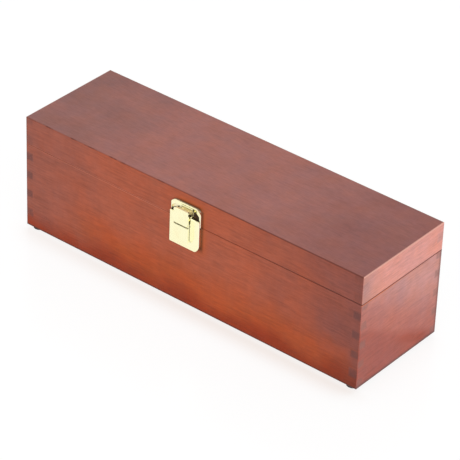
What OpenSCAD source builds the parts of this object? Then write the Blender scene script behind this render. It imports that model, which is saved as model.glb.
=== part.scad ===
// Hinged wooden box for one wine bottle.
// Box-jointed sides, let-in top and bottom panels, a brass snap latch and two brass hinges.
// X runs along the box, the front is at -Y, and Z is up from the surface that the feet stand on.

/* [Box] */
// Outer length of the box
box_l = 350; // [320:1:420]
// Outer depth of the box, front to back
box_d = 105; // [100:1:140]
// Height of the base, from its underside to the seam
base_h = 80; // [70:1:100]
// Height of the lid, from the seam to its top
lid_h = 25.7; // [22:0.1:40]
// Gap between the base and the closed lid
seam_gap = 0.3; // [0.2:0.05:0.5]
// Thickness of the side boards
board_t = 8.5; // [7.5:0.5:12]
// Thickness of the top panel
top_t = 5; // [3:0.5:7]
// Thickness of the bottom panel
bottom_t = 5; // [3:0.5:7]
// How far the panels are let into the side boards
rebate = 4.5; // [3:0.5:5.5]
// Rounding of the outer edges
edge_r = 1.3; // [0.5:0.1:2]
// Rounding of the edges beside the seam
seam_r = 0.4; // [0.2:0.1:0.8]

/* [Corner joints] */
// Width of a finger
finger_w = 9.1; // [7:0.1:11]
// Width of the lowest finger of the base
base_first = 9.7; // [7:0.1:11]
// Width of the lowest finger of the lid
lid_first = 9.6; // [7:0.1:11]

/* [Feet] */
// Radius of a foot
foot_r = 5.5; // [3:0.5:7]
// Height of a foot
foot_h = 2.5; // [1:0.5:4]
// Distance from a foot's centre to the end of the box
foot_inset_x = 8.5; // [7:0.5:20]
// Distance from a foot's centre to the front or back of the box
foot_inset_y = 7.5; // [7:0.5:20]

/* [Bottle rests] */
// Radius of the bottle's body
bottle_r = 38; // [34:0.5:39]
// Radius of the bottle's neck
neck_r = 15; // [12:0.5:18]
// Play round the bottle in its rests
bottle_play = 0.5; // [0.2:0.1:1]
// Wood left under the bottle's body
rest_floor = 6; // [3:0.5:7]
// Thickness of a rest, along the box
rest_t = 12; // [8:0.5:20]
// Height of the body rest
body_rest_h = 28; // [20:1:32]
// Distance from the box's left end to the middle of the body rest
body_rest_inset = 80; // [55:1:115]
// Distance from the box's right end to the middle of the neck rest
neck_rest_inset = 59; // [35:1:85]

/* [Latch plates] */
// Width of the catch plate
plate_w = 30.8; // [28:0.2:34]
// Thickness of the base plate
plate_t = 1; // [0.8:0.1:1.2]
// How far the catch plate reaches above the seam
plate_above = 17; // [16:0.5:18]
// Rounding of the catch plate's upper corners
plate_r = 5; // [3:0.5:6]
// Gap between a plate and the seam
plate_gap = 0.5; // [0.3:0.1:0.8]
// Height of the catch plate's raised rim
rim_h = 2.2; // [1.8:0.1:2.3]
// Thickness of the catch plate's sunk floor
floor_t = 0.8; // [0.6:0.1:1]
// Width of the raised rim beside the sunk floor
rim_w = 1.2; // [1:0.1:2.5]
// Width of the raised rim above the sunk floor
rim_top_w = 3.2; // [2.5:0.1:4]
// Rounding of the rim's outer edge
rim_edge_r = 0.9; // [0.5:0.1:1]
// Radius of the bead along the rim's top
rim_bead_r = 0.6; // [0.4:0.1:0.9]
// Length of the bead along the rim's top
rim_bead_l = 14; // [10:0.5:16]
// How far the rim's corners are cut off across the sunk floor
rim_slope = 3; // [2:0.1:7]
// Half width of the catch's nose
nose_half_w = 4.6; // [3:0.1:4.7]
// Radius of the bead on the nose
nose_r = 0.9; // [0.6:0.1:1]
// Height of the nose above the seam
nose_up = 11.4; // [11:0.1:11.6]
// Thickness of the post that carries the nose
nose_post_t = 2; // [1.4:0.1:2.4]

/* [Latch housing] */
// Width of the housing and the base plate behind it
housing_w = 30.8; // [27:0.2:34]
// Height of the housing's face from the wood
housing_h = 3.7; // [3.5:0.1:4]
// Thickness of the housing where it passes in front of the catch plate
housing_t = 1.1; // [0.9:0.1:1.1]
// How far the housing's cheeks reach above the seam
cheek_above = 7; // [5.5:0.5:7.5]
// How far the housing and the base plate reach below the seam
housing_below = 23; // [22:0.5:24]
// Rounding of the housing's lower left corner
low_left_r = 3; // [2:0.5:6]
// Rounding of the housing's lower right corner
low_right_r = 7; // [4:0.5:9]
// Rounding of the housing's outer edges
housing_r = 1; // [0.5:0.1:1]
// Thickness of an ear
ear_t = 0.9; // [0.7:0.1:1.2]
// Height of the ears from the wood
ear_h = 6; // [5.8:0.1:6.4]
// Length of the slope at an ear's lower end
ear_ramp = 3; // [1:0.5:5]
// How far the ears reach above the seam
ear_above = 10; // [9:0.5:10.5]

/* [Latch lever and hook] */
// Width of the lever and the hook
tab_w = 15.2; // [13:0.2:16]
// Height of the lever's face from the wood
tab_h = 8; // [7.9:0.1:8.3]
// Thickness of the lever's and the hook's sheet
sheet_t = 0.9; // [0.7:0.1:1]
// How far the lever reaches below the seam
lever_below = 14.7; // [12:0.1:15]
// How far the hook reaches above the seam
hook_above = 14.2; // [14:0.1:14.6]
// Rounding of the fold between the hook's face and its lip
fold_r = 1.2; // [0.5:0.1:1.5]
// How far the hook's lip and the catch's nose reach past each other
lip_depth = 2.1; // [1.8:0.1:2.3]
// Gap between the hook's lip and the catch's nose
snap_gap = 0.3; // [0.2:0.05:0.5]
// Side gap between moving pieces of the latch
side_gap = 0.3; // [0.2:0.05:0.4]
// Radius of the latch's pins
pin_r = 0.7; // [0.5:0.05:0.8]
// Radial running clearance round the pins
pin_fit = 0.05; // [0.02:0.01:0.08]
// Height of the lever's pivot above the seam
pivot_up = 6.5; // [6:0.1:7]
// Distance from the wood to the lever's pivot
pivot_out = 4.4; // [4.2:0.1:4.5]
// Height of the hook's pin above the seam
link_up = 0.9; // [0.8:0.1:1.2]
// Distance from the wood to the hook's pin
link_out = 6.7; // [6.6:0.05:6.8]
// Radius of the hook's knuckle
link_r = 1.1; // [1:0.05:1.15]
// Gap between the lever's face and the hook's knuckle
fold_gap = 0.4; // [0.3:0.05:0.5]
// Radius of the lever's eyes round its pivot
eye_r = 1.6; // [1.3:0.1:1.8]
// Rounding of the lever's and the hook's corners
tab_r = 1; // [0.5:0.1:1.5]

/* [Nails and screws] */
// Radius of a latch nail's shank
nail_r = 0.6; // [0.4:0.05:0.7]
// Radius of a latch nail's head
nail_head_r = 1.2; // [1:0.1:1.4]
// Height of a latch nail's domed head
nail_head_h = 0.8; // [0.5:0.1:1]
// Length of a nail or screw in the wood
shank_l = 6.5; // [4:0.5:7]
// Distance from the latch's middle to the catch plate's nails
catch_nail_x = 10.2; // [9.8:0.1:10.6]
// Height of the catch plate's nails above the seam, where the sunk floor leaves room for it
catch_nail_rise = 9; // [8.5:0.1:9.5]
// Distance from the latch's middle to the base plate's nails
plate_nail_x = 3.4; // [2:0.1:4.4]
// Radius of a hinge screw's shank
screw_r = 1; // [0.8:0.1:1.2]
// Radius of a hinge screw's head
screw_head_r = 1.9; // [1.6:0.1:2.2]
// Distance from a hinge screw to the leaf's end
screw_end = 4.5; // [3.5:0.1:6]
// Distance from a hinge screw to the leaf's far edge
screw_edge = 4.2; // [3.2:0.1:4.6]
// Width of the slot across a screw's head
slot_w = 0.5; // [0.4:0.1:0.7]
// Radial clearance round nails and screws
hole_fit = 0.05; // [0.02:0.01:0.1]

/* [Hinges] */
// Distance from an end of the box to a hinge's middle
hinge_inset = 63; // [50:1:95]
// Length of a hinge along the box
leaf_l = 24; // [20:1:30]
// Width of a leaf, from the seam to its far edge
leaf_h = 12; // [10:0.5:14]
// Thickness of a leaf
leaf_t = 1; // [0.8:0.1:1.2]
// Radius of the hinge's knuckles
knuckle_r = 2; // [1.7:0.1:2.4]
// Radius of the hinge's pin
hinge_pin_r = 0.9; // [0.6:0.1:1]
// Gap between neighbouring knuckles, and from a knuckle to the wood
knuckle_gap = 0.3; // [0.2:0.05:0.5]

/* [Hidden] */
$fn = 48;
eps = 0.01;
past = 1;
crisp_r = 0.1;
wood = [0.60, 0.31, 0.25];
wood_light = [0.82, 0.55, 0.49];
bare_wood = [0.78, 0.60, 0.42];
brass = [0.86, 0.72, 0.38];
rubber = [0.10, 0.09, 0.09];

lid_z = base_h + seam_gap;
inner_l = box_l - 2 * board_t;
inner_d = box_d - 2 * board_t;

hinge_out = knuckle_r + knuckle_gap;
hinge_up = seam_gap / 2;
back_reach = hinge_out + knuckle_r;
box_y = (tab_h - back_reach) / 2;

bottle_z = bottom_t + rest_floor + bottle_play + bottle_r;
neck_rest_h = bottle_z - bottom_t;
body_rest_x = body_rest_inset - box_l / 2;
neck_rest_x = box_l / 2 - neck_rest_inset;

ear_x = tab_w / 2 + side_gap;
cheek_x = ear_x + ear_t;
arm_x = tab_w / 2 - sheet_t;
knuckle_half_w = arm_x - side_gap;
back_of_cheek = housing_h - housing_t;
lever_top = link_up - link_r - fold_gap;
hook_shoulder = link_up + link_r + 2 * side_gap;
under_face = tab_h - sheet_t;
lip_out = under_face - lip_depth + snap_gap;
channel_low = -lever_below - side_gap;

sunk_x = plate_w / 2 - rim_w;
sunk_top = plate_above - rim_top_w;
nail_room = sunk_x + sunk_top - rim_slope - catch_nail_x - sqrt(2) * (nail_head_r + crisp_r);
catch_nail_up = min(catch_nail_rise, nail_room);
plate_nail_ups = [-5, -11.5];

hinge_x = box_l / 2 - hinge_inset;
knuckle_l = (leaf_l - 2 * knuckle_gap) / 3;
screw_x = leaf_l / 2 - screw_end;
screw_up = leaf_h - screw_edge;

// ---- Frames of reference ----

// The wooden box's own frame: its underside is at z = 0, its middle at x = y = 0.
module in_box() {
    translate([0, box_y, foot_h]) children();
}

// Frame on the front face at the seam: x along the box, y up, z out of the wood.
module on_front() {
    in_box() translate([0, -box_d / 2, base_h]) rotate([90, 0, 0]) children();
}

// The same on the back face, with x turned round.
module on_back() {
    in_box() translate([0, box_d / 2, base_h]) rotate([90, 0, 180]) children();
}

// Moves a rod to its place in a face's frame, `up` from the seam and `out` of the wood.
module at_pin(up, out) {
    translate([0, up, out]) children();
}

// Round rod along x, centred.
module pin_rod(r, l) {
    rotate([0, 90, 0]) cylinder(r = r, h = l, center = true);
}

// Extrudes a profile drawn as [up, out] along x, centred.
module across(w) {
    rotate([90, 0, 90]) linear_extrude(w, center = true) children();
}

// A box from its low corner to its high corner.
module span(low, high) {
    translate(low) cube(high - low);
}

// ---- Shared profiles ----

// Rectangle standing on y = 0, with separately rounded lower and upper corners.
module soft_profile(w, h, low_r, high_r) {
    translate([-w / 2 + low_r, 0]) square([w - 2 * low_r, h / 2]);
    translate([-w / 2 + high_r, h / 2]) square([w - 2 * high_r, h / 2]);
    translate([-w / 2, low_r]) square([w, h - low_r - high_r]);
    for (side = [-1, 1]) {
        translate([side * (w / 2 - low_r), low_r]) circle(low_r);
        translate([side * (w / 2 - high_r), h - high_r]) circle(high_r);
    }
}

// Block with rounded upright edges and softened lower and upper edges, standing on z = 0.
module soft_block(l, d, h, low_r, high_r) {
    intersection() {
        translate([0, -d / 2, 0]) linear_extrude(h) soft_profile(l, d, edge_r, edge_r);
        rotate([90, 0, 0]) linear_extrude(d, center = true) soft_profile(l, h, low_r, high_r);
        rotate([90, 0, 90]) linear_extrude(l, center = true) soft_profile(d, h, low_r, high_r);
    }
}

// ---- Box-jointed walls ----

function finger_count(h, first) = max(1, round((h - first) / finger_w)) + 1;
function finger_edge(i, h, first) =
    i == 0 ? 0 : i == finger_count(h, first) ? h : first + (i - 1) * finger_w;

// Slots across the end of a board, for every second finger starting with number `from`.
module finger_slots(h, first, from) {
    for (i = [from : 2 : finger_count(h, first) - 1]) {
        low = finger_edge(i, h, first);
        high = finger_edge(i + 1, h, first);
        translate([-board_t, -board_t, low]) cube([2 * board_t, 2 * board_t, high - low]);
    }
}

// Board along the box, its outer face at side * box_d / 2. Its own fingers leave out `slots_from`.
module long_board(side, h, first, slots_from) {
    difference() {
        translate([-box_l / 2, side > 0 ? box_d / 2 - board_t : -box_d / 2, 0])
            cube([box_l, board_t, h]);
        for (end = [-1, 1])
            translate([end * box_l / 2, side * (box_d / 2 - board_t / 2), 0])
                finger_slots(h, first, slots_from);
    }
}

// Board across an end of the box, its outer face at side * box_l / 2.
module end_board(side, h, first, slots_from) {
    difference() {
        translate([side > 0 ? box_l / 2 - board_t : -box_l / 2, -box_d / 2, 0])
            cube([board_t, box_d, h]);
        for (end = [-1, 1])
            translate([side * (box_l / 2 - board_t / 2), end * box_d / 2, 0])
                finger_slots(h, first, slots_from);
    }
}

module bottom_panel_block(extra = 0) {
    l = inner_l + 2 * rebate;
    d = inner_d + 2 * rebate;
    translate([-l / 2, -d / 2, -extra]) cube([l, d, bottom_t + extra]);
}

module top_panel_block(extra = 0) {
    l = inner_l + 2 * rebate;
    d = inner_d + 2 * rebate;
    translate([-l / 2, -d / 2, lid_h - top_t]) cube([l, d, top_t + extra]);
}

// A wall of the base: the board inside the rounded outline, rebated for the bottom panel.
module base_wall() {
    difference() {
        intersection() {
            soft_block(box_l, box_d, base_h, edge_r, seam_r);
            children();
        }
        bottom_panel_block(past);
    }
}

// A wall of the lid, rebated for the top panel.
module lid_wall() {
    difference() {
        intersection() {
            soft_block(box_l, box_d, lid_h, seam_r, edge_r);
            children();
        }
        top_panel_block(past);
    }
}

// Pilot hole for a nail or screw, drawn in the frame of a face, going into the wood.
module pilot_hole(r) {
    translate([0, 0, -shank_l - hole_fit])
        cylinder(r = r + hole_fit, h = shank_l + hole_fit + past);
}

module at_plate_nails() {
    for (side = [-1, 1])
        for (up = plate_nail_ups)
            translate([side * plate_nail_x, up, 0]) children();
}

module at_catch_nails() {
    for (side = [-1, 1])
        translate([side * catch_nail_x, catch_nail_up, 0]) children();
}

// Places a child at every screw of both hinges, on the leaf at the given side of the seam.
module at_hinge_screws(leaf) {
    for (hinge = [-1, 1])
        for (side = [-1, 1])
            translate([hinge * hinge_x + side * screw_x, leaf * screw_up, 0]) children();
}

module base_front_board() {
    color(wood) difference() {
        in_box() base_wall() long_board(-1, base_h, base_first, 1);
        on_front() at_plate_nails() pilot_hole(nail_r);
    }
}

module base_back_board() {
    color(wood) difference() {
        in_box() base_wall() long_board(1, base_h, base_first, 1);
        on_back() at_hinge_screws(-1) pilot_hole(screw_r);
    }
}

module base_left_end() {
    color(wood) in_box() base_wall() end_board(-1, base_h, base_first, 0);
}

module base_right_end() {
    color(wood) in_box() base_wall() end_board(1, base_h, base_first, 0);
}

module base_bottom_panel() {
    color(wood) in_box() bottom_panel_block();
}

module in_lid() {
    in_box() translate([0, 0, lid_z]) children();
}

module lid_front_board() {
    color(wood) difference() {
        in_lid() lid_wall() long_board(-1, lid_h, lid_first, 0);
        on_front() at_catch_nails() pilot_hole(nail_r);
    }
}

module lid_back_board() {
    color(wood) difference() {
        in_lid() lid_wall() long_board(1, lid_h, lid_first, 0);
        on_back() at_hinge_screws(1) pilot_hole(screw_r);
    }
}

module lid_left_end() {
    color(wood_light) in_lid() lid_wall() end_board(-1, lid_h, lid_first, 1);
}

module lid_right_end() {
    color(wood_light) in_lid() lid_wall() end_board(1, lid_h, lid_first, 1);
}

module lid_top_panel() {
    color(wood) in_lid() top_panel_block();
}

// ---- Feet and bottle rests ----

module foot(side_x, side_y) {
    color(rubber) translate([
        side_x * (box_l / 2 - foot_inset_x),
        box_y + side_y * (box_d / 2 - foot_inset_y),
        0
    ]) cylinder(r = foot_r, h = foot_h);
}

module foot_front_left() { foot(-1, -1); }
module foot_front_right() { foot(1, -1); }
module foot_back_left() { foot(-1, 1); }
module foot_back_right() { foot(1, 1); }

// Board across the base with a round seat cut into its upper edge.
module rest_board(x, h, seat_r) {
    color(bare_wood) in_box() difference() {
        translate([x - rest_t / 2, -inner_d / 2, bottom_t]) cube([rest_t, inner_d, h]);
        translate([x, 0, bottle_z]) rotate([0, 90, 0])
            cylinder(r = seat_r + bottle_play, h = rest_t + past, center = true, $fn = 96);
    }
}

module bottle_body_rest() { rest_board(body_rest_x, body_rest_h, bottle_r); }
module bottle_neck_rest() { rest_board(neck_rest_x, neck_rest_h, neck_r); }

// ---- Latch ----

// Thin plate behind the housing, on the front of the base.
module latch_base_plate() {
    color(brass) on_front() difference() {
        linear_extrude(plate_t) lower_outline(-plate_gap, seam_r);
        at_plate_nails() nail_hole(plate_t);
    }
}

// Outline that the base plate and the housing share below, up to their own top.
module lower_outline(top, top_r) {
    translate([0, -housing_below]) difference() {
        soft_profile(housing_w, housing_below + top, low_left_r, top_r);
        translate([housing_w / 2 - low_right_r, low_right_r]) mirror([0, 1])
            corner_waste(low_right_r);
    }
}

// Hole for a nail through a plate of the given thickness.
module nail_hole(t) {
    translate([0, 0, -past]) cylinder(r = nail_r + hole_fit, h = t + 2 * past);
}

// Stamped plate on the front of the lid: a raised rim round a sunk floor that carries the nose.
module latch_catch_plate() {
    low = seam_gap + plate_gap;
    color(brass) on_front() difference() {
        union() {
            difference() {
                catch_rim(low);
                translate([0, 0, floor_t]) linear_extrude(rim_h) sunk_outline(low - past);
            }
            across(2 * nose_half_w) catch_nose_profile();
            translate([0, (sunk_top + plate_above - rim_edge_r) / 2, rim_h - crisp_r])
                pin_rod(rim_bead_r, rim_bead_l);
        }
        at_catch_nails() nail_hole(floor_t);
    }
}

// Outline of the sunk floor, open at its lower end and with its upper corners cut off.
module sunk_outline(low) {
    slope_low = sunk_top - rim_slope;
    slope_x = sunk_x - rim_slope;
    polygon([
        [-sunk_x, low], [-sunk_x, slope_low], [-slope_x, sunk_top],
        [slope_x, sunk_top], [sunk_x, slope_low], [sunk_x, low]
    ]);
}

// The catch plate's full outline with a rounded outer rim.
module catch_rim(low) {
    h = plate_above - low;
    intersection() {
        translate([0, low, 0]) linear_extrude(rim_h) soft_profile(plate_w, h, seam_r, plate_r);
        across(plate_w) translate([low, 0]) difference() {
            square([h, rim_h]);
            translate([h - rim_edge_r, rim_h - rim_edge_r]) corner_waste(rim_edge_r);
        }
        rotate([90, 0, 0]) translate([0, 0, -plate_above]) linear_extrude(h)
            soft_profile(plate_w, rim_h, crisp_r, rim_edge_r);
    }
}

// What is cut away to round a corner whose arc is centred on the origin.
module corner_waste(r) {
    difference() {
        square(r + past);
        circle(r);
    }
}

// Nose that the hook's lip snaps over: a short post with a bead along its end.
module catch_nose_profile() {
    bead_out = under_face - lip_depth - nose_r;
    translate([nose_up - nose_post_t, floor_t - eps]) square([nose_post_t, bead_out - floor_t + eps]);
    translate([nose_up, bead_out]) circle(nose_r);
}

// Stamped cover on the base: two cheeks joined below the lever, with an ear inside each cheek.
module latch_housing() {
    color(brass) on_front() difference() {
        union() {
            intersection() {
                housing_face();
                across(housing_w) housing_side_profile();
                rotate([90, 0, 0]) translate([0, 0, -cheek_above])
                    linear_extrude(cheek_above + housing_below)
                        soft_profile(housing_w, housing_h, crisp_r, housing_r);
            }
            for (side = [-1, 1])
                translate([side * (ear_x + ear_t / 2), 0, 0]) across(ear_t) ear_profile();
        }
        at_pin(pivot_up, pivot_out) pin_rod(pin_r + pin_fit, housing_w);
    }
}

// Outline of the housing seen from the front, standing on the base plate.
module housing_face() {
    difference() {
        translate([0, 0, plate_t]) linear_extrude(housing_h - plate_t)
            lower_outline(cheek_above, housing_r);
        span([-ear_x, channel_low, 0], [ear_x, cheek_above + past, housing_h + past]);
    }
}

// The housing is full depth below the seam, and a thin sheet where it passes the catch plate.
module housing_side_profile() {
    low = -housing_below;
    difference() {
        translate([low, 0]) square([housing_below + cheek_above, housing_h]);
        translate([-plate_gap, -past])
            square([cheek_above + plate_gap + past, back_of_cheek + past]);
        mirror([1, 0]) translate([-low - housing_r, housing_h - housing_r]) corner_waste(housing_r);
        translate([cheek_above - housing_r / 2, housing_h - housing_r / 2])
            corner_waste(housing_r / 2);
    }
}

// Ear that carries the lever's pivot, in front of the catch plate above the seam.
module ear_profile() {
    tip_r = (ear_h - back_of_cheek) / 2;
    tip_up = ear_above - tip_r;
    polygon([
        [channel_low, plate_t], [channel_low, housing_h], [channel_low + ear_ramp, ear_h],
        [tip_up, ear_h],
        [tip_up, back_of_cheek], [-plate_gap, back_of_cheek], [-plate_gap, plate_t]
    ]);
    translate([tip_up, ear_h - tip_r]) circle(tip_r);
}

module latch_pivot_pin() {
    color(brass) on_front() at_pin(pivot_up, pivot_out) pin_rod(pin_r, 2 * cheek_x);
}

// Folded lever: a flat face with two arms that reach up to the pivot behind the hook.
module latch_lever() {
    color(brass) on_front() difference() {
        union() {
            translate([0, -lever_below, under_face]) linear_extrude(sheet_t)
                soft_profile(tab_w, lever_below + lever_top, tab_r, side_gap);
            for (side = [-1, 1])
                translate([side * (tab_w - sheet_t) / 2, 0, 0]) across(sheet_t) lever_arm_profile();
        }
        at_pin(pivot_up, pivot_out) pin_rod(pin_r + pin_fit, tab_w + past);
        at_pin(link_up, link_out) pin_rod(pin_r + pin_fit, tab_w + past);
    }
}

// Side wall of the lever, with an eye for the hook's pin and an eye for the pivot.
module lever_arm_profile() {
    wall_out = pivot_out - crisp_r;
    neck_up = link_up + link_r + crisp_r;
    translate([tab_r - lever_below, wall_out])
        square([lever_below - tab_r + lever_top, under_face - wall_out + eps]);
    translate([link_up, link_out]) circle(link_r);
    translate([pivot_up, pivot_out]) circle(eye_r);
    polygon([
        [lever_top - 2 * link_r, wall_out], [lever_top, under_face], [link_up, link_out + link_r],
        [neck_up, under_face - side_gap], [pivot_up, pivot_out + eye_r],
        [pivot_up, pivot_out - eye_r]
    ]);
}

module latch_hook_pin() {
    color(brass) on_front() at_pin(link_up, link_out) pin_rod(pin_r, tab_w);
}

// Hook plate: turns on the lever's pin and snaps its lip over the catch's nose.
module latch_hook() {
    color(brass) on_front() difference() {
        union() {
            translate([0, hook_shoulder, under_face]) linear_extrude(sheet_t)
                soft_profile(tab_w, hook_above - hook_shoulder, crisp_r, tab_r);
            span(
                [-knuckle_half_w, link_up, under_face],
                [knuckle_half_w, hook_shoulder + eps, tab_h]
            );
            span(
                [-knuckle_half_w, hook_above - sheet_t, lip_out],
                [knuckle_half_w, hook_above, under_face + eps]
            );
            for (side = [-1, 1])
                translate([side * (knuckle_half_w - sheet_t / 2), 0, 0]) across(sheet_t)
                    hook_wall_profile();
            at_pin(link_up, link_out) pin_rod(link_r, 2 * knuckle_half_w);
        }
        at_pin(link_up, link_out) pin_rod(pin_r + pin_fit, tab_w);
        across(tab_w + past) translate([hook_above - fold_r, tab_h - fold_r]) corner_waste(fold_r);
    }
}

// Side wall of the hook, from its knuckle to its lip, in front of the pivot pin.
module hook_wall_profile() {
    wall_out = pivot_out + 2 * pin_r;
    top = hook_above - eps;
    polygon([
        [link_up + link_r / 2, under_face + eps], [top, under_face + eps], [top, lip_out],
        [nose_up - 2 * pin_r, wall_out], [hook_shoulder, wall_out]
    ]);
}

// Round-headed nail whose head sits on a plate of the given thickness.
module nail(seat) {
    dome_r = (nail_head_r * nail_head_r + nail_head_h * nail_head_h) / (2 * nail_head_h);
    translate([0, 0, -shank_l]) cylinder(r = nail_r, h = shank_l + seat + eps);
    translate([0, 0, seat]) intersection() {
        cylinder(r = nail_head_r, h = nail_head_h);
        translate([0, 0, nail_head_h - dome_r]) sphere(r = dome_r);
    }
}

module latch_base_nails() {
    color(brass) on_front() at_plate_nails() nail(plate_t);
}

module latch_catch_nails() {
    color(brass) on_front() at_catch_nails() nail(floor_t);
}

// ---- Hinges ----

// Leaf on one side of the seam. `leaf` is -1 for the base and 1 for the lid.
module hinge_leaf(hinge, leaf) {
    near = leaf * hinge_up + knuckle_r + knuckle_gap;
    own_knuckles = leaf < 0 ? [-1, 1] : [0];
    color(brass) on_back() translate([hinge * hinge_x, 0, 0]) difference() {
        union() {
            leaf_sheet(leaf, near, leaf_h, 0, leaf_l);
            for (i = own_knuckles) {
                x = i * (knuckle_l + knuckle_gap);
                leaf_sheet(leaf, leaf * hinge_up + crisp_r, near + past, x, knuckle_l);
                translate([x, 0, 0]) at_pin(hinge_up, hinge_out) pin_rod(knuckle_r, knuckle_l);
            }
        }
        at_pin(hinge_up, hinge_out) pin_rod(hinge_pin_r + pin_fit, leaf_l + past);
        for (side = [-1, 1])
            translate([side * screw_x, leaf * screw_up, 0]) {
                translate([0, 0, -past]) cylinder(r = screw_r + hole_fit, h = leaf_t + 2 * past);
                cylinder(r1 = screw_r + hole_fit, r2 = screw_head_r + hole_fit, h = leaf_t + eps);
            }
    }
}

// Stretch of a leaf's sheet between two distances from the seam.
module leaf_sheet(leaf, near, far, x, l) {
    low = leaf < 0 ? -far : near;
    translate([x - l / 2, low, 0]) cube([l, far - near, leaf_t]);
}

module hinge_pin(hinge) {
    color(brass) on_back() translate([hinge * hinge_x, 0, 0])
        at_pin(hinge_up, hinge_out) pin_rod(hinge_pin_r, leaf_l);
}

// Seen from behind, x is turned round, so the left hinge is at +x of the back frame.
module hinge_left_base_leaf() { hinge_leaf(1, -1); }
module hinge_left_lid_leaf() { hinge_leaf(1, 1); }
module hinge_left_pin() { hinge_pin(1); }
module hinge_right_base_leaf() { hinge_leaf(-1, -1); }
module hinge_right_lid_leaf() { hinge_leaf(-1, 1); }
module hinge_right_pin() { hinge_pin(-1); }

// Countersunk screw flush with the leaf's face, with a slot across its head.
module screw() {
    difference() {
        union() {
            translate([0, 0, -shank_l]) cylinder(r = screw_r, h = shank_l + eps);
            cylinder(r1 = screw_r, r2 = screw_head_r, h = leaf_t);
        }
        translate([-screw_head_r - past, -slot_w / 2, leaf_t / 2])
            cube([2 * (screw_head_r + past), slot_w, leaf_t]);
    }
}

module hinge_base_screws() {
    color(brass) on_back() at_hinge_screws(-1) screw();
}

module hinge_lid_screws() {
    color(brass) on_back() at_hinge_screws(1) screw();
}

base_front_board();
base_back_board();
base_left_end();
base_right_end();
base_bottom_panel();
lid_front_board();
lid_back_board();
lid_left_end();
lid_right_end();
lid_top_panel();
foot_front_left();
foot_front_right();
foot_back_left();
foot_back_right();
bottle_body_rest();
bottle_neck_rest();
latch_base_plate();
latch_housing();
latch_pivot_pin();
latch_lever();
latch_hook_pin();
latch_hook();
latch_catch_plate();
latch_base_nails();
latch_catch_nails();
hinge_left_base_leaf();
hinge_left_lid_leaf();
hinge_left_pin();
hinge_right_base_leaf();
hinge_right_lid_leaf();
hinge_right_pin();
hinge_base_screws();
hinge_lid_screws();
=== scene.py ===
import functools
import math

import bpy
from mathutils import Matrix, Vector


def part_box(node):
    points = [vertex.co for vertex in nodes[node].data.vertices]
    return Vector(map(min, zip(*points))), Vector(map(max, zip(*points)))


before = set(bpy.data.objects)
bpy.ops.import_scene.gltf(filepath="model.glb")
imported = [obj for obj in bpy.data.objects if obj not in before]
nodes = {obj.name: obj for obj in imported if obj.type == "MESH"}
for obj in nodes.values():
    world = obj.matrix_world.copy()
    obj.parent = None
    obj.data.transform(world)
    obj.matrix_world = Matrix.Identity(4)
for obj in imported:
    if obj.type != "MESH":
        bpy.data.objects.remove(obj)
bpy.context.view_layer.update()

MM = 0.001
# Heights of the bumps: planed and bare grain, scratches in brass, pits in rubber.
PLANED, BARE_GRAIN, SCRATCHES, PITS = 0.05 * MM, 0.1 * MM, 0.01 * MM, 0.04 * MM
# The wood's own box inside the row frame: its middle lies a little behind y = 0, and it stands on the feet.
WOOD_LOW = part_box("base_front_board")[0]
WOOD_HIGH = Vector((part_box("lid_right_end")[1].x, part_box("lid_back_board")[1].y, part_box("lid_top_panel")[1].z))
BASE_HIGH, LID_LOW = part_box("base_front_board")[1].z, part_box("lid_front_board")[0].z
SEAM = (BASE_HIGH + LID_LOW) / 2
PLATE_HALF, PLATE_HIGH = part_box("latch_catch_plate")[1].x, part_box("latch_catch_plate")[1].z


# ---- Node trees ----


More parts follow.
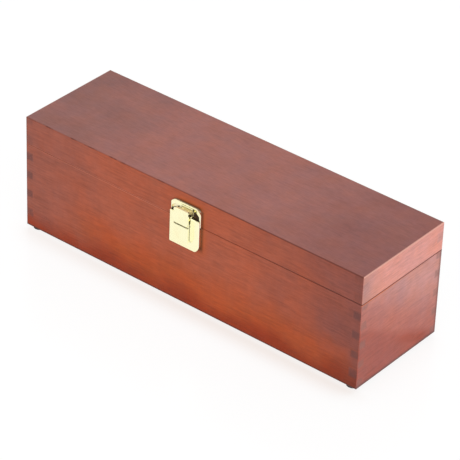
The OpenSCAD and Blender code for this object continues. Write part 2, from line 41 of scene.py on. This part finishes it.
class Graph:
    """The node tree of a material or a world, emptied, and short calls that add nodes to it."""

    def __init__(self, owner):
        self.owner = owner
        owner.use_nodes = True
        self.tree = owner.node_tree
        self.tree.nodes.clear()

    def put(self, socket, value):
        if isinstance(value, bpy.types.NodeSocket):
            self.tree.links.new(value, socket)
        else:
            socket.default_value = value

    def node(self, kind, inputs=(), **settings):
        made = self.tree.nodes.new("ShaderNode" + kind)
        for key, value in settings.items():
            setattr(made, key, value)
        for key, value in dict(inputs).items():
            self.put(made.inputs[key], value)
        return made

    def math(self, operation, a, b=0.0, c=0.0, clamp=False):
        return self.node("Math", {0: a, 1: b, 2: c}, operation=operation, use_clamp=clamp).outputs[0]

    def size(self, value):
        return self.math("ABSOLUTE", value)

    def all_of(self, *masks):
        """The product: 1 where every mask is 1."""
        return functools.reduce(lambda a, b: self.math("MULTIPLY", a, b), masks)

    def any_of(self, *masks):
        """The largest: 1 where one mask is 1."""
        return functools.reduce(lambda a, b: self.math("MAXIMUM", a, b), masks)

    def plus_share(self, total, noise, share):
        """total plus a share of how far a noise is from its middle."""
        return self.math("MULTIPLY_ADD", self.math("SUBTRACT", noise, 0.5), share, total)

    def vector(self, operation, a, b=(0, 0, 0)):
        made = self.node("VectorMath", {0: a, 1: b}, operation=operation)
        return made.outputs["Value" if operation == "LENGTH" else "Vector"]

    def split(self, vector):
        return self.node("SeparateXYZ", {0: vector}).outputs

    def noise(self, vector, scale=1.0, detail=2.0, roughness=0.5, output=0):
        return self.node(
            "TexNoise", {"Vector": vector, "Scale": scale, "Detail": detail, "Roughness": roughness}
        ).outputs[output]

    def noise_line(self, w, scale, detail=1.0):
        return self.node("TexNoise", {"W": w, "Scale": scale, "Detail": detail}, noise_dimensions="1D").outputs[0]

    def remap(self, value, low, high, to_low=0.0, to_high=1.0):
        """value from low..high to to_low..to_high, smooth at both ends. low may be the larger one."""
        return self.node(
            "MapRange",
            {"Value": value, "From Min": low, "From Max": high, "To Min": to_low, "To Max": to_high},
            interpolation_type="SMOOTHSTEP",
        ).outputs[0]

    def ramps(self, *ramps):
        """Product of smooth ramps, each (value, where it is 0, where it is 1) with both places in millimetres."""
        return self.all_of(*(self.remap(value, zero * MM, one * MM) for value, zero, one in ramps))

    def mix(self, factor, a, b):
        made = self.node("Mix", data_type="RGBA")
        self.put(made.inputs[0], factor)
        self.put(made.inputs[6], a)
        self.put(made.inputs[7], b)
        return made.outputs[2]

    def bump(self, height, distance, strength):
        return self.node("Bump", {"Height": height, "Distance": distance, "Strength": strength}).outputs[0]

    def seen(self):
        """1 for what the camera sees, also in a mirror or through glass, and 0 for the light that surfaces get."""
        path = self.node("LightPath").outputs
        return self.any_of(path["Is Camera Ray"], path["Is Glossy Ray"], path["Is Transmission Ray"])


class Surface(Graph):
    """A new material's tree, with the place in the row frame at rest and the way that the surface faces."""

    def __init__(self, name):
        super().__init__(bpy.data.materials.new(name))
        coords = self.node("TexCoord").outputs
        self.place = coords["Object"]
        self.facing = coords["Normal"]

    def finish(self, **inputs):
        shader = self.node("BsdfPrincipled", {k.replace("_", " "): v for k, v in inputs.items()})
        self.node("OutputMaterial", {0: shader.outputs[0]})
        return self.owner


# ---- Colours ----


def rgb(r, g, b):
    """An sRGB colour of 0 to 255 as the linear one that a shader takes."""
    def line(c):
        c /= 255
        return c / 12.92 if c <= 0.04045 else ((c + 0.055) / 1.055) ** 2.4

    return (line(r), line(g), line(b), 1.0)


WHITE = (1, 1, 1, 1)
# What multiplies a wood colour where its hue is coolest and warmest.
COOL, WARM = (0.95, 1.01, 1.08, 1), (1.05, 0.99, 0.90, 1)
# Colours of the long sides. The low ones are painted shade, darker and redder near the floor.
FRONT_LEFT, FRONT_MIDDLE, FRONT_RIGHT = rgb(150, 82, 66), rgb(167, 83, 56), rgb(130, 70, 60)
FRONT_GLOW, FRONT_LOW_SHADE, FRONT_LOW_RIGHT_SHADE = rgb(170, 72, 22), rgb(142, 47, 8), rgb(120, 46, 24)
# Colours of the ends. The high ones are a painted reflection, and the low ones and the streak are painted shade.
END_LOW_SHADE, END_MIDDLE, END_HIGH_REFLECTION = rgb(166, 87, 74), rgb(180, 107, 96), rgb(202, 141, 133)
END_STREAK_SHADE = rgb(158, 70, 50)
LID_END_MIDDLE, LID_END_FRONT = rgb(222, 150, 138), rgb(184, 130, 120)
# Colours of the top: the stain with a painted sheen of reflected sky that greys it.
TOP_LEFT, TOP_MIDDLE, TOP_RIGHT = rgb(147, 97, 90), rgb(168, 107, 98), rgb(148, 91, 85)
# Painted shade in the seam and along the bottom edges, a painted highlight on the base's top edge, and painted light
# that hides the seam's shade.
DEEP, BASE_TOP_HIGHLIGHT, SEAM_LIGHT = rgb(66, 30, 24), rgb(214, 120, 84), rgb(216, 134, 108)
# Painted shade on the lid's top front edge and on the base's back and bottom edges, and a painted highlight on the
# tops of the lid's ends.
EDGE_SHADE, EDGE_HIGHLIGHT, EDGE_GREY_SHADE = rgb(92, 44, 36), rgb(236, 178, 162), rgb(112, 70, 66)
# End grain of the fingers, seen in the long sides and in the ends.
TIP_FRONT, TIP_END = rgb(92, 56, 54), rgb(140, 98, 90)
# Painted shade on the wood round the latch: a soft orange halo far from it, and a dark shadow line close to it.
LATCH_HALO, LATCH_SHADOW = rgb(182, 84, 36), rgb(98, 46, 10)
# Brass of the latch, and the polish gathered on it. Satin is the hinges' brass.
BRASS_FACE, BRASS_STAIN = rgb(255, 251, 208), rgb(250, 232, 176)
# Painted highlights: paler brass on the latch's side walls, and on its sunk floor and nose.
BRASS_SIDE_HIGHLIGHT, BRASS_INNER_HIGHLIGHT = rgb(255, 253, 236), rgb(254, 244, 208)
# Painted shade in the latch's hollows and gaps, in a darker and a lighter tone.
HOLLOW_SHADE_DARK, HOLLOW_SHADE_LIGHT = rgb(44, 28, 8), rgb(78, 52, 16)
SATIN_FACE, SATIN_STAIN = rgb(232, 202, 132), rgb(196, 156, 90)
BARE_WOOD = rgb(214, 178, 132)
RUBBER, DUST = rgb(40, 26, 22), rgb(66, 48, 42)
FLOOR_MATT, FLOOR_SHADE = (0.95, 0.95, 0.95, 1), (0.90, 0.83, 0.79, 1)


# ---- Wood ----

# Width of a finger, of the lowest fingers of base and lid, and thickness of a board.
FINGER, BASE_FIRST, LID_FIRST, BOARD = 9.1 * MM, 9.7 * MM, 9.6 * MM, 8.5 * MM

# Grain of the long sides, of the ends, of the flat panels and of the bare bottle rests. axis is the way that it
# runs, heart the middle of the tree's rings in metres, the scales are in cycles per metre, and the others are the
# shares that each feature has in the tone. tint is the share of the changes in hue.
LONG = dict(
    axis=0, heart=(0, 0.03, -0.22), ring_scale=520, streak=0.13, stroke=0.3, figure=0.14, mottle=0.22,
    blotch=0.30, blotch_scale=34
)
SHORT = dict(
    axis=1, heart=(0.12, 0, -0.2), ring_scale=520, streak=0.10, stroke=0.17, figure=0.06, mottle=0.26,
    blotch=0.20, blotch_scale=30
)
FLAT = dict(
    axis=0, heart=(0, 0.004, -0.06), ring_scale=230, streak=0.04, stroke=0.10, figure=0.10, mottle=0.22,
    blotch=0.28, blotch_scale=44, tint=0.7
)
BARE = dict(
    axis=1, heart=(0.3, 0, -0.1), seed=5.5, ring_scale=300, streak=0.30, stroke=0.1, figure=0.05, mottle=0.05,
    blotch=0.2, blotch_scale=20
)
FIBRE_SHARE, PORE_SHARE = 0.55, -0.10
# How strongly end grain shows in the long sides and in the ends, each for lid and base.
TIPS_IN_LONG, TIPS_IN_END = (0.3, 0.8), (0.2, 0.7)
# Seeds of the grain, the stain and the painted light and shade that several boards share, so that their patterns
# meet without a break.
FRONT_SEED, TOP_SEED, END_SEED = 0.4, 3.1, 7.7


def by_axis(axis, along, across):
    return tuple(along if i == axis else across for i in range(3))


def grain(g, axis, heart, seed, ring_scale, streak, stroke, figure, mottle, blotch, blotch_scale, tint=1.0):
    """Tone, hue, height and cloudiness of planed wood whose grain runs along an axis."""
    place = g.vector("ADD", g.place, (seed, seed * 0.7, seed * 0.3))

    def stretched(along, across, scale=1.0, **settings):
        return g.noise(g.vector("MULTIPLY", place, by_axis(axis, along, across)), scale, **settings)

    # Distance from the heart, made uneven: by up to 4 mm over long stretches, and by up to 1.6 mm over short ones.
    ring = g.vector("LENGTH", g.vector("SUBTRACT", g.vector("MULTIPLY", g.place, by_axis(axis, 0, 1)), heart))
    ring = g.plus_share(ring, stretched(5, 13), 0.008)
    ring = g.plus_share(ring, stretched(48, 120), 0.0032)
    lines = g.remap(g.noise_line(ring, ring_scale), 0.33, 0.67)
    lines = g.all_of(lines, g.remap(stretched(44, 110), 0.35, 0.62))

    strokes = stretched(58, 400, detail=3, roughness=0.6)
    ripple = stretched(230, 70)
    spots = stretched(0.6, 1, 210, detail=4, roughness=0.65)
    fibre = stretched(110, 1100, detail=3, roughness=0.7)
    pores = g.remap(stretched(210, 2600, detail=1), 0.62, 0.74)
    cloud = stretched(0.7, 1, blotch_scale, detail=5, roughness=0.62)

    tone = g.plus_share(1.0, cloud, blotch)
    tone = g.math("MULTIPLY_ADD", g.math("SUBTRACT", 0.25, lines), streak, tone)
    for part, share in ((strokes, stroke), (ripple, figure), (spots, mottle), (fibre, FIBRE_SHARE)):
        tone = g.plus_share(tone, part, share)
    tone = g.math("MULTIPLY_ADD", pores, PORE_SHARE, tone)

    hue = g.noise(g.vector("ADD", place, (4.4, 8.1, 2.6)), blotch_scale * 1.1, detail=4, roughness=0.6)
    hue = g.plus_share(0.5, hue, tint)
    height = g.math("SUBTRACT", g.math("MULTIPLY", fibre, 0.5), g.math("MULTIPLY", lines, 0.4))
    height = g.math("MULTIPLY_ADD", pores, -0.8, height)
    return tone, hue, height, cloud


def tinted(g, colour, tone, hue):
    """The colour made lighter or darker by tone, near 1, and cooler or warmer by hue, 0 to 1."""
    shift = g.mix(g.remap(hue, 0.3, 0.7), COOL, WARM)
    shift = g.node("VectorMath", {0: shift, 3: tone}, operation="SCALE").outputs["Vector"]
    return g.vector("MULTIPLY", colour[:3] if isinstance(colour, tuple) else colour, shift)


def wandering(g, seed, reach):
    """The place, pushed about smoothly, so that what is drawn from it has uneven borders."""
    place = g.vector("ADD", g.place, (seed, seed, seed))
    shift = g.vector("SUBTRACT", g.noise(place, 22, detail=4, output="Color"), (0.5, 0.5, 0.5))
    return g.split(g.vector("ADD", g.place, g.vector("MULTIPLY", shift, reach)))


def front_tone(g, seed):
    """Colour of the long sides: orange in the middle, greyer at the ends, and painted shade that makes them darker
    and redder near the floor.
    """
    x, _, z = wandering(g, seed, (0.14, 0, 0.03))
    above_floor = g.math("SUBTRACT", z, WOOD_LOW.z)
    colour = g.mix(g.remap(x, -0.19, -0.06, 1.0, 0.0), FRONT_MIDDLE, FRONT_LEFT)
    colour = g.mix(g.remap(x, 0.045, 0.19), colour, FRONT_RIGHT)
    glow = g.ramps((z, 56, 24), (x, -165, -80), (x, 190, 130))
    colour = g.mix(g.math("MULTIPLY", glow, 0.8), colour, FRONT_GLOW)
    # Painted shade: darker and redder towards the floor, darker still on the right.
    low = g.mix(g.ramps((x, 110, 165)), FRONT_LOW_SHADE, FRONT_LOW_RIGHT_SHADE)
    return g.mix(g.ramps((above_floor, 26, 1)), colour, low)


def end_tone(g, seed):
    """The ends' colour: a painted reflection makes them paler above a border that slants down towards the back, and
    painted shade darkens them below it, with a red streak.
    """
    _, y, z = wandering(g, seed, (0, 0.014, 0.012))
    above = g.math("SUBTRACT", g.math("MULTIPLY_ADD", y, 0.5, z), WOOD_LOW.z + 0.030)
    # Painted shade below the border, and a painted reflection that grows paler above it.
    colour = g.mix(g.ramps((above, -5, 6)), END_LOW_SHADE, END_MIDDLE)
    colour = g.mix(g.ramps((above, 4, 55)), colour, END_HIGH_REFLECTION)
    # Painted shade: a red streak just below the border, stronger towards the back.
    streak = g.ramps((g.size(g.math("ADD", above, 0.008)), 6.5, 1))
    streak = g.all_of(streak, g.remap(y, -0.005, 0.015, 0.0, 0.7))
    return g.mix(streak, colour, END_STREAK_SHADE)


def lid_end_tone(g, seed):
    _, y, _ = wandering(g, seed, (0, 0.03, 0))
    return g.mix(g.ramps((y, -20, -60)), LID_END_MIDDLE, LID_END_FRONT)


def top_tone(g, seed):
    """The top's colour, paler in the middle of its length: the stain with a painted sheen of reflected sky that
    greys it.
    """
    x, _, _ = wandering(g, seed, (0.18, 0.06, 0))
    colour = g.mix(g.ramps((x, -190, -50)), TOP_LEFT, TOP_MIDDLE)
    return g.mix(g.ramps((x, 40, 180)), colour, TOP_RIGHT)


def finger_tips(g, axis, colour, soaked, strength, base, own):
    """Darkens a board's own fingers where they end in the neighbour's face, softly towards their borders."""
    first, low = (BASE_FIRST, WOOD_LOW.z) if base else (LID_FIRST, LID_LOW)
    turn = g.math("FRACT", g.math("DIVIDE", g.math("SUBTRACT", g.split(g.place)[2], low + first), 2 * FINGER))
    # A finger's borders lie a quarter of a turn from its middle.
    inside = g.remap(g.size(g.math("SUBTRACT", turn, own)), 0.28, 0.11)
    across = g.remap(g.size(g.split(g.facing)[axis]), 0.55, 0.92)
    other = 1 - axis
    reach = (WOOD_HIGH.x, (WOOD_HIGH.y - WOOD_LOW.y) / 2)[other]
    middle = (0.0, (WOOD_HIGH.y + WOOD_LOW.y) / 2)[other]
    depth = g.math("SUBTRACT", g.size(g.math("SUBTRACT", g.split(g.place)[other], middle)), reach - BOARD)
    uneven = g.remap(g.noise(g.place, 75), 0.35, 0.6, 0.65, 1.0)
    pores = g.remap(g.noise(g.place, 1100), 0.35, 0.7, 0.7, 1.0)
    inside = g.all_of(inside, uneven, g.ramps((depth, -0.4, 2.2)), across, g.math("MULTIPLY", pores, strength))
    return g.mix(inside, colour, soaked)


def base_edges(g, colour):
    """Painted shade along the base's lower edges and the back edges of its ends, and a thin painted highlight along
    its upper ones, next to the seam.
    """
    x, y, z = g.split(g.place)
    side, front, _ = g.split(g.facing)
    side = g.size(side)
    above_floor = g.math("SUBTRACT", z, WOOD_LOW.z)
    below_seam = g.math("SUBTRACT", BASE_HIGH, z)
    before_back = g.math("SUBTRACT", WOOD_HIGH.y, y)
    # Painted shade: darker along the bottom edges, near the floor.
    colour = g.mix(g.remap(above_floor, 2.8 * MM, 0.5 * MM, 0.0, 0.9), colour, DEEP)
    # Painted highlight on the ends' top edge below the seam, strongest towards the front.
    top_highlight = g.all_of(g.ramps((below_seam, 1.2, 0.4)), g.remap(side, 0.3, 0.6), g.remap(y, 0.02, -0.03, 0.1, 0.8))
    colour = g.mix(top_highlight, colour, BASE_TOP_HIGHLIGHT)
    # Painted shade: grey along the ends' back edges and bottom edges.
    back = g.all_of(g.ramps((before_back, 5, 1)), g.remap(side, 0.3, 0.6))
    foot = g.all_of(g.remap(above_floor, 4.8 * MM, 1.4 * MM, 0.0, 1.3), g.remap(side, 0.0, 0.2))
    colour = g.mix(g.math("MULTIPLY", g.any_of(back, foot), 0.6), colour, EDGE_GREY_SHADE)
    # Painted light on the seam's edge of the long sides, left of the latch, that hides the seam's shade.
    seam = g.all_of(g.ramps((below_seam, 0.8, 0.4)), left_of_latch(g, x, front))
    return g.mix(seam, colour, SEAM_LIGHT)


def lid_edges(g, colour):
    """Painted shade along the lid's lower edge at the seam and along its upper front edge, and a thin painted
    highlight along the tops of its ends.
    """
    x, _, z = g.split(g.place)
    side, front, up = g.split(g.facing)
    above_seam = g.math("SUBTRACT", z, LID_LOW)
    # Painted shade of the seam gap along the lid's lower edge, stronger towards the right.
    low = g.all_of(g.ramps((above_seam, 1.1, 0.2)), g.remap(x, -0.02, 0.12, 0.1, 0.85))
    colour = g.mix(low, colour, DEEP)
    # Painted light on the seam's edge left of the latch, that hides the seam's shade.
    seam = g.all_of(g.ramps((above_seam, 0.8, 0.4)), left_of_latch(g, x, front))
    colour = g.mix(seam, colour, SEAM_LIGHT)
    rounded = g.remap(up, 0.25, 0.5)
    # Noise that breaks up the painted dark edge on the left.
    wobble = g.noise(g.place, 45, detail=4, roughness=0.6)
    uneven = g.math("ADD", g.ramps((x, -120, 60)), g.remap(wobble, 0.52, 0.62), clamp=True)
    # Painted shade: a dark reflection along the rounded top front edge, full towards the right and patchy on the
    # left.
    front_edge_shade = g.all_of(rounded, g.remap(g.size(front), 0.2, 0.45), g.math("MULTIPLY_ADD", uneven, 0.7, 0.3))
    colour = g.mix(g.math("MULTIPLY", front_edge_shade, 0.75), colour, EDGE_SHADE)
    # Painted highlight on the rounded tops of the ends.
    end_top_highlight = g.all_of(rounded, g.remap(g.size(side), 0.2, 0.45))
    return g.mix(g.math("MULTIPLY", end_top_highlight, 0.7), colour, EDGE_HIGHLIGHT)


def left_of_latch(g, x, front):
    """How much lighter the seam's edges are painted on the long sides, left of the latch, where the seam hardly
    shows: painted light that hides its shade.
    """
    return g.all_of(g.ramps((x, -12, -30)), g.remap(g.size(front), 0.2, 0.4), g.remap(x, -0.15, -0.07, 0.24, 0.4))


# How far from the seam the painted shade beside the latch is at its full strength, in millimetres.
BESIDE_LOW, BESIDE_HIGH = -19, 14.5


def latch_shade(g, colour):
    """Painted shade round the latch, most of it at its top and right side: a soft orange halo, and a dark shadow
    line close in.
    """
    x, y, z = g.split(g.place)
    _, front, _ = g.split(g.facing)
    ahead = g.all_of(g.remap(front, -0.3, -0.7), g.ramps((g.math("SUBTRACT", y, WOOD_LOW.y), 3, 2)))
    rise = g.math("SUBTRACT", z, SEAM)
    past_side = g.math("SUBTRACT", x, PLATE_HALF)
    past_top = g.math("SUBTRACT", z, PLATE_HIGH)
    from_left = g.math("ADD", x, PLATE_HALF)
    # Painted shade: first the soft halo, then the shadow line close in.
    for reach, strength, shade_colour in ((8.5, 0.6, LATCH_HALO), (3.1, 0.95, LATCH_SHADOW)):
        beside = g.ramps(
            (past_side, reach, -0.2), (x, 0, 1),
            (rise, BESIDE_LOW - 3.5 - reach, BESIDE_LOW), (rise, BESIDE_HIGH + reach, BESIDE_HIGH),
        )
        over = g.ramps((past_top, reach, -0.2), (rise, 0, 1), (from_left, 0, 12), (past_side, reach, -3))
        halo = g.all_of(g.any_of(beside, over), g.math("MULTIPLY", ahead, strength))
        colour = g.mix(halo, colour, shade_colour)
    return colour


def waxed(g, colour, height, cloud):
    """Satin wax over stained wood: gloss that varies a little, and pores that stay open."""
    haze = g.noise(g.place, 60, detail=3)
    roughness = g.math("ADD", g.remap(haze, 0.3, 0.7, 0.36, 0.46), g.math("MULTIPLY", cloud, 0.08))
    return g.finish(
        Base_Color=colour,
        Roughness=roughness,
        IOR=1.5,
        Specular_IOR_Level=0.22,
        Normal=g.bump(height, PLANED, 0.6),
    )


def board(name, base, seed, short):
    """A side board of the base or lid. Its outer faces share their colour, painted light and shade included, with
    the boards that they meet.
    """
    g = Surface(name)
    tone, hue, height, cloud = grain(g, seed=seed, **(SHORT if short else LONG))
    side, _, up = g.split(g.facing)
    end_side = end_tone(g, END_SEED) if base else lid_end_tone(g, END_SEED)
    colour = g.mix(g.remap(g.size(side), 0.5, 0.8), front_tone(g, seed), end_side)
    colour = tinted(g, colour, tone, hue)
    # The middle of the board's own finger in a turn of finger and gap. End grain of the end boards shows in the
    # long sides, and that of the long boards in the ends.
    own = 0.25 if base == short else 0.75
    if short:
        colour = finger_tips(g, 1, colour, TIP_FRONT, TIPS_IN_LONG[base], base, own)
    else:
        colour = finger_tips(g, 0, colour, TIP_END, TIPS_IN_END[base], base, own)
    if base:
        colour = base_edges(g, colour)
    else:
        above_tone, above_hue, above_height, _ = grain(g, seed=TOP_SEED, **FLAT)
        up = g.remap(up, 0.6, 0.85)
        colour = g.mix(up, colour, tinted(g, top_tone(g, TOP_SEED), above_tone, above_hue))
        height = g.math("MULTIPLY", height, g.math("SUBTRACT", 1.0, up))
        height = g.math("MULTIPLY_ADD", above_height, up, height)
        colour = lid_edges(g, colour)
    # Painted shade round the latch, on the long boards.
    if not short:
        colour = latch_shade(g, colour)
    return waxed(g, colour, height, cloud)


def panel(name, base, seed):
    g = Surface(name)
    tone, hue, height, cloud = grain(g, seed=seed, **FLAT)
    colour = tinted(g, FRONT_MIDDLE if base else top_tone(g, seed), tone, hue)
    return waxed(g, colour, height, cloud)


def bare(name):
    g = Surface(name)
    tone, hue, height, cloud = grain(g, **BARE)
    colour = tinted(g, BARE_WOOD, tone, hue)
    roughness = g.remap(cloud, 0.3, 0.7, 0.55, 0.68)
    return g.finish(Base_Color=colour, Roughness=roughness, Normal=g.bump(height, BARE_GRAIN, 0.7))


# ---- Brass and rubber ----


# The latch's forms in millimetres: how far out they stand from the wood, how high their tops are over the base's
# top edge, and half their width.
SUNK_OUT, SUNK_TOP, SUNK_HALF = 2.0, 13.8, 14.2
NOSE_OUT, NOSE_TOP, NOSE_HALF = 6.2, 13.0, 4.8
CHEEK_OUT, CHEEK_TOP, CHEEK_HALF = 2.5, 6.6, 14.5
HOOK_HALF = 7.5


def hollows(g):
    """On the latch: painted shade in its corners, gaps and folds, and a painted highlight that keeps the sunk floor
    and nose paler.
    """
    x, y, z = g.split(g.place)
    out = g.math("SUBTRACT", WOOD_LOW.y, y)
    rise = g.math("SUBTRACT", z, BASE_HIGH)
    reach = g.size(x)
    floor = g.ramps(
        (out, SUNK_OUT + 0.2, SUNK_OUT), (rise, SUNK_TOP + 0.4, SUNK_TOP), (reach, SUNK_HALF + 0.4, SUNK_HALF)
    )
    # Painted shade in the floor's corners outside the hook, more of the right one than of the left one.
    leaning = g.math("MULTIPLY_ADD", x, -0.6, rise)
    corners = g.all_of(floor, g.ramps((reach, HOOK_HALF - 0.5, HOOK_HALF + 0.3), (leaning, 17.2, 16.2)))
    # Painted shadow above the cheeks' top edges.
    above_cheeks = g.ramps(
        (out, CHEEK_OUT + 0.2, CHEEK_OUT), (reach, CHEEK_HALF + 0.5, CHEEK_HALF),
        (rise, CHEEK_TOP + 1.9, CHEEK_TOP + 1.3), (rise, CHEEK_TOP - 0.6, CHEEK_TOP),
    )
    # Painted shade in the fold between lever and hook.
    fold = g.ramps((rise, -0.9, -0.6), (rise, 1.2, 0.9), (out, 7.9, 7.7), (out, 4.0, 4.5))
    fold = g.all_of(fold, g.remap(reach, (HOOK_HALF + 0.2) * MM, HOOK_HALF * MM, 0.0, 0.5))
    # Painted shade along the top edge of the catch plate, low by the wood.
    crest = g.all_of(g.ramps((out, 1.4, 0.8)), g.remap(rise, 15 * MM, 16 * MM, 0.0, 0.8))
    # Painted highlight: the nose and the sunk floor are kept paler.
    nose = g.ramps(
        (out, NOSE_OUT + 0.4, NOSE_OUT), (reach, NOSE_HALF + 0.2, NOSE_HALF),
        (rise, 8.0, 9.0), (rise, NOSE_TOP + 0.8, NOSE_TOP),
    )
    return g.any_of(corners, above_cheeks, fold, crest), g.any_of(nose, floor)


def brass(name, colour, tarnish, amount, roughness, scratch, latch=False):
    g = Surface(name)
    stains = g.noise(g.place, 120, detail=4)
    specks = g.noise(g.place, 900)
    streaks = g.noise(g.vector("MULTIPLY", g.place, (4000, 900, 900)), detail=3)
    tint = g.mix(g.remap(stains, 0.42, 0.8, 0.0, amount), colour, tarnish)
    tint = g.mix(g.remap(specks, 0.66, 0.8, 0.0, amount), tint, tarnish)
    rough = g.math("ADD", g.remap(streaks, 0.3, 0.7, 0.0, 0.07), roughness)
    metal = 1.0
    if latch:
        side, _, up = g.split(g.facing)
        painted_shade, painted_highlight = hollows(g)
        # Painted highlight: the side-facing walls paler.
        tint = g.mix(g.remap(g.size(side), 0.6, 0.85), tint, BRASS_SIDE_HIGHLIGHT)
        # Painted highlight on the sunk floor and nose.
        tint = g.mix(painted_highlight, tint, BRASS_INNER_HIGHLIGHT)
        rough = g.math("MULTIPLY_ADD", g.any_of(g.remap(up, 0.5, 0.8), painted_highlight), 0.3, rough)
        # Painted shade in the latch's hollows and gaps: dark, rough and not metal.
        shade_tone = g.mix(g.remap(g.noise(g.place, 700, detail=3), 0.35, 0.7), HOLLOW_SHADE_DARK, HOLLOW_SHADE_LIGHT)
        tint = g.mix(painted_shade, tint, shade_tone)
        rough = g.math("MULTIPLY_ADD", painted_shade, 0.45, rough)
        metal = g.math("SUBTRACT", 1.0, painted_shade)
    normal = g.bump(streaks, SCRATCHES, scratch)
    return g.finish(Base_Color=tint, Metallic=metal, Roughness=rough, Normal=normal)


def rubber(name):
    g = Surface(name)
    pits = g.noise(g.place, 2200)
    dust = g.noise(g.place, 300, detail=3)
    colour = g.mix(g.remap(dust, 0.45, 0.75, 0.0, 0.6), RUBBER, DUST)
    roughness = g.remap(pits, 0.3, 0.7, 0.55, 0.75)
    return g.finish(Base_Color=colour, Roughness=roughness, Normal=g.bump(pits, PITS, 0.8))


# ---- Dressing the pieces ----

base_front = board("front_wood", base=True, seed=FRONT_SEED, short=False)
base_back = board("back_wood", base=True, seed=1.9, short=False)
base_end = board("end_wood", base=True, seed=END_SEED, short=True)
lid_long = board("lid_front_wood", base=False, seed=FRONT_SEED, short=False)
lid_end = board("lid_end_wood", base=False, seed=2.2, short=True)
polished = brass("polished_brass", BRASS_FACE, BRASS_STAIN, amount=0.3, roughness=0.14, scratch=0.3, latch=True)
satin = brass("satin_brass", SATIN_FACE, SATIN_STAIN, amount=0.6, roughness=0.28, scratch=0.8)

# A piece takes the material of the first name here that its own name starts with.
MATERIALS = {
    "base_front_board": base_front,
    "base_back_board": base_back,
    "base_bottom_panel": panel("bottom_wood", base=True, seed=4.6),
    "base": base_end,
    "lid_top_panel": panel("panel_wood", base=False, seed=TOP_SEED),
    "lid_left_end": lid_end,
    "lid_right_end": lid_end,
    "lid": lid_long,
    "foot": rubber("pad"),
    "bottle": bare("pale_wood"),
    "latch": polished,
    "hinge": satin,
}

for name, piece in nodes.items():
    piece.data.materials.clear()
    piece.data.materials.append(next(MATERIALS[start] for start in MATERIALS if name.startswith(start)))


# ---- Room, light and camera ----

FLOOR_HALF = 6.0
# The world's strength as light. Where it is seen it is 1, a plain white.
AMBIENT = 0.6
# Strength of the floor's white, its share where the floor is seen, and the share of gloss over all.
FLOOR_LEVEL, WHITE_SHARE, GLOSS_SHARE = 1.06, 0.85, 0.02
# How far from the object its own soft shade reaches on the floor.
SHADE_REACH = 28 * MM


def floor_material():
    """White with the object's soft shade where it is seen, and plain pale matt for the light it sends back."""
    g = Surface("floor")
    x, y, _ = g.split(g.place)
    open_sky = g.node("AmbientOcclusion", {"Distance": SHADE_REACH}).outputs["AO"]
    # The shade is deepest in front, where the least light comes from, and weaker beside the ends.
    shade = g.all_of(
        g.remap(open_sky, 1.0, 0.5), g.remap(y, -0.045, -0.055, 0.16, 1.0), g.remap(x, -0.17, 0.02, 0.6, 1.0)
    )
    matt = g.node("BsdfDiffuse", {"Color": FLOOR_MATT})
    gloss = g.node("BsdfGlossy", {"Color": WHITE, "Roughness": 0.25})
    white = g.node("Emission", {"Color": g.mix(shade, WHITE, FLOOR_SHADE), "Strength": FLOOR_LEVEL})
    lift = g.math("MULTIPLY", g.seen(), WHITE_SHARE)
    lift = g.node("MixShader", {0: lift, 1: matt.outputs[0], 2: white.outputs[0]})
    sheen = g.node("MixShader", {0: GLOSS_SHARE, 1: lift.outputs[0], 2: gloss.outputs[0]})
    g.node("OutputMaterial", {0: sheen.outputs[0]})
    return g.owner


def studio_world():
    """White where it is seen, and weaker as light."""
    g = Graph(bpy.data.worlds.new("studio"))
    level = g.node("MapRange", {"Value": g.seen(), "To Min": AMBIENT, "To Max": 1.0})
    sky = g.node("Background", {"Color": WHITE, "Strength": level.outputs[0]})
    g.node("OutputWorld", {0: sky.outputs[0]})
    return g.owner


def sun(name, direction, strength, angle):
    data = bpy.data.lights.new(name, "SUN")
    data.energy = strength
    data.angle = angle
    lamp = bpy.data.objects.new(name, data)
    lamp.rotation_mode = "QUATERNION"
    lamp.rotation_quaternion = Vector(direction).to_track_quat("-Z", "Y")
    scene.collection.objects.link(lamp)


def add_camera(place, azimuth, elevation, roll, lens):
    """A camera at a place, looking down at the object by its elevation, and tilted by its roll, in radians."""
    data = bpy.data.cameras.new("camera")
    data.sensor_width = 36
    data.lens = lens
    data.clip_start, data.clip_end = 0.1, 50
    camera = bpy.data.objects.new("camera", data)
    scene.collection.objects.link(camera)
    flat = math.cos(elevation)
    back = Vector((math.sin(azimuth) * flat, -math.cos(azimuth) * flat, math.sin(elevation)))
    level = Vector((math.cos(azimuth), math.sin(azimuth), 0))
    upright = back.cross(level)
    right = math.cos(roll) * level + math.sin(roll) * upright
    up = -math.sin(roll) * level + math.cos(roll) * upright
    camera.matrix_world = Matrix.Translation(place) @ Matrix((right, up, back)).transposed().to_4x4()
    return camera


scene = bpy.context.scene
bpy.ops.mesh.primitive_plane_add(size=2 * FLOOR_HALF, location=(0, 0, 0))
floor = bpy.context.object
floor.name = "floor"
floor.data.materials.append(floor_material())
scene.world = studio_world()
sun("key", direction=(-0.6, 0.65, -0.4), strength=1.6, angle=1.1)
scene.camera = add_camera(
    place=Vector((1157.56, -1463.90, 1281.29)) * MM,
    azimuth=0.667397,
    elevation=0.583341,
    roll=0.039432,
    lens=214.79,
)
scene.view_settings.view_transform = "Standard"
